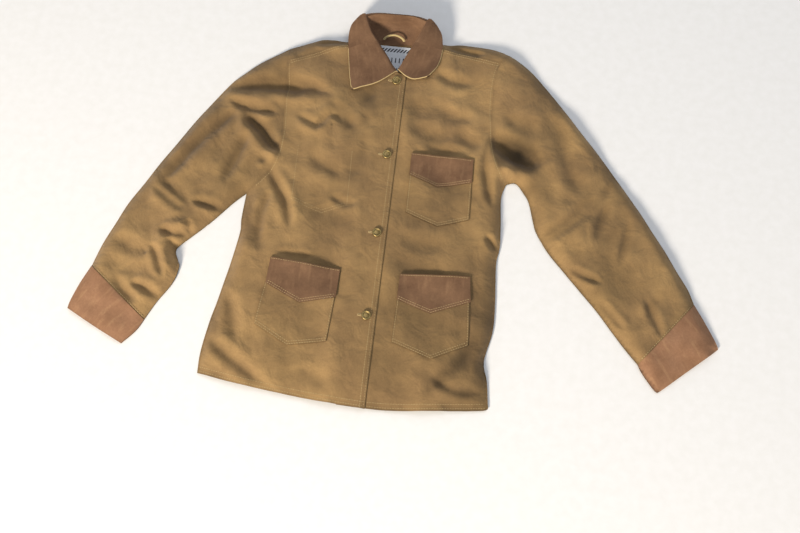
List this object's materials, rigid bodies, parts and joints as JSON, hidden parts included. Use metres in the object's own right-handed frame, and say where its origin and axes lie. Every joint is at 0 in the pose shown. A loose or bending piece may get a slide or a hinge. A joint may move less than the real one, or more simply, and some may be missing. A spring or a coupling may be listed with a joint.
{
  "type": "chore coat",
  "caption": "Canvas work coat laid flat, with leather collar, cuffs and pocket bands; its fronts, sleeves, cuffs, collar wings and button heads move.",
  "frame": {"origin": "on the floor under the middle of the coat's box", "axes": "+X to the wearer's left, the long way across both sleeves; +Y up the body to the collar; +Z out of the front, the thin way"},
  "size_m": [1.1566, 0.7718, 0.0458],
  "materials": {
    "canvas": "woven cotton duck, worn",
    "suede": "napped leather",
    "brass": "antique brass",
    "label_cloth": "woven label",
    "tape": "cotton twill tape"
  },
  "bodies": {
    "torso": {"back_panel": "canvas", "label": "label_cloth", "collar_stand": "suede", "collar_back_fall": "suede", "right_side_front": "canvas", "right_shoulder": "canvas", "right_sleeve_cap": "canvas", "right_sleeve_cap_under": "canvas", "right_collar_turn": "suede", "left_side_front": "canvas", "left_shoulder": "canvas", "left_sleeve_cap": "canvas", "left_sleeve_cap_under": "canvas", "left_collar_turn": "suede"},
    "right_front": {"right_front": "canvas", "right_facing": "canvas", "right_hip_pocket": "canvas", "right_hip_pocket_band": "suede", "inner_chest_pocket": "canvas", "buttonhole_1": "canvas", "buttonhole_2": "canvas", "buttonhole_3": "canvas", "buttonhole_4": "canvas"},
    "left_front": {"left_front": "canvas", "left_facing": "canvas", "left_hip_pocket": "canvas", "left_hip_pocket_band": "suede", "chest_pocket": "canvas", "chest_pocket_band": "suede", "button_tack_1": "brass", "button_tack_2": "brass", "button_tack_3": "brass", "button_tack_4": "brass"},
    "right_wing": {"right_collar_wing": "suede"},
    "left_wing": {"left_collar_wing": "suede"},
    "loop": {"hanger_loop": "tape"},
    "right_upper_arm": {"right_upper_sleeve": "canvas", "right_upper_sleeve_under": "canvas"},
    "right_forearm": {"right_lower_sleeve": "canvas", "right_lower_sleeve_under": "canvas"},
    "right_cuff": {"right_cuff": "suede"},
    "left_upper_arm": {"left_upper_sleeve": "canvas", "left_upper_sleeve_under": "canvas"},
    "left_forearm": {"left_lower_sleeve": "canvas", "left_lower_sleeve_under": "canvas"},
    "left_cuff": {"left_cuff": "suede"},
    "button_1": {"button_head_1": "brass"},
    "button_2": {"button_head_2": "brass"},
    "button_3": {"button_head_3": "brass"},
    "button_4": {"button_head_4": "brass"}
  },
  "joints": [
    {"name": "right_front_open", "type": "hinge", "parent": "torso", "child": "right_front", "pos_m": [-0.32328, -0.35962, 0.0316], "axis": [-0.2555, -0.9668, 0], "range_deg": [0, 150], "deforming": ["buttonhole_1", "buttonhole_2", "buttonhole_3", "buttonhole_4"]},
    {"name": "left_front_open", "type": "hinge", "parent": "torso", "child": "left_front", "pos_m": [0.18572, -0.35962, 0.0282], "axis": [0.2157, -0.9765, 0], "range_deg": [-85, 0]},
    {"name": "right_shoulder_swing", "type": "hinge", "parent": "torso", "child": "right_upper_arm", "pos_m": [-0.37928, 0.01638, 0.009], "axis": [0, 0, -1], "range_deg": [-8, 30]},
    {"name": "right_elbow_fold", "type": "hinge", "parent": "right_upper_arm", "child": "right_forearm", "pos_m": [-0.45773, -0.11264, 0.0185], "axis": [0.8545, -0.5195, 0], "range_deg": [-150, 0]},
    {"name": "right_cuff_turn_back", "type": "hinge", "parent": "right_forearm", "child": "right_cuff", "pos_m": [-0.49533, -0.22975, 0.0185], "axis": [-0.7912, 0.6115, 0], "range_deg": [0, 165]},
    {"name": "right_wing_turn_up", "type": "hinge", "parent": "right_front", "child": "right_wing", "pos_m": [-0.07628, 0.29838, 0.0375], "axis": [0.6255, -0.7765, -0.0755], "range_deg": [-85, 0]},
    {"name": "left_shoulder_swing", "type": "hinge", "parent": "torso", "child": "left_upper_arm", "pos_m": [0.28572, 0.08538, 0.009], "axis": [0, 0, 1], "range_deg": [-20, 30]},
    {"name": "left_elbow_fold", "type": "hinge", "parent": "left_upper_arm", "child": "left_forearm", "pos_m": [0.38031, -0.05225, 0.0185], "axis": [0.7771, 0.6293, 0], "range_deg": [-150, 0]},
    {"name": "left_cuff_turn_back", "type": "hinge", "parent": "left_forearm", "child": "left_cuff", "pos_m": [0.48888, -0.19581, 0.0185], "axis": [-0.632, -0.7749, 0], "range_deg": [0, 165]},
    {"name": "left_wing_turn_up", "type": "hinge", "parent": "left_front", "child": "left_wing", "pos_m": [-0.02528, 0.30188, 0.0375], "axis": [0.3937, 0.914, 0.0984], "range_deg": [-85, 0]},
    {"name": "hanger_loop_swing", "type": "hinge", "parent": "torso", "child": "loop", "pos_m": [-0.05928, 0.33475, 0.00622], "axis": [1, 0, 0], "range_deg": [0, 100]},
    {"name": "button_1_swivel", "type": "hinge", "parent": "left_front", "child": "button_1", "pos_m": [-0.04328, 0.24038, 0.0241], "axis": [0, 0, 1], "continuous": true},
    {"name": "button_2_swivel", "type": "hinge", "parent": "left_front", "child": "button_2", "pos_m": [-0.04328, 0.08488, 0.0241], "axis": [0, 0, 1], "continuous": true},
    {"name": "button_3_swivel", "type": "hinge", "parent": "left_front", "child": "button_3", "pos_m": [-0.04328, -0.07062, 0.0241], "axis": [0, 0, 1], "continuous": true},
    {"name": "button_4_swivel", "type": "hinge", "parent": "left_front", "child": "button_4", "pos_m": [-0.04328, -0.22612, 0.0241], "axis": [0, 0, 1], "continuous": true}
  ],
  "couplings": [
    {"joint": "left_front_open", "follows": "right_front_open", "ratio": -0.55}
  ]
}
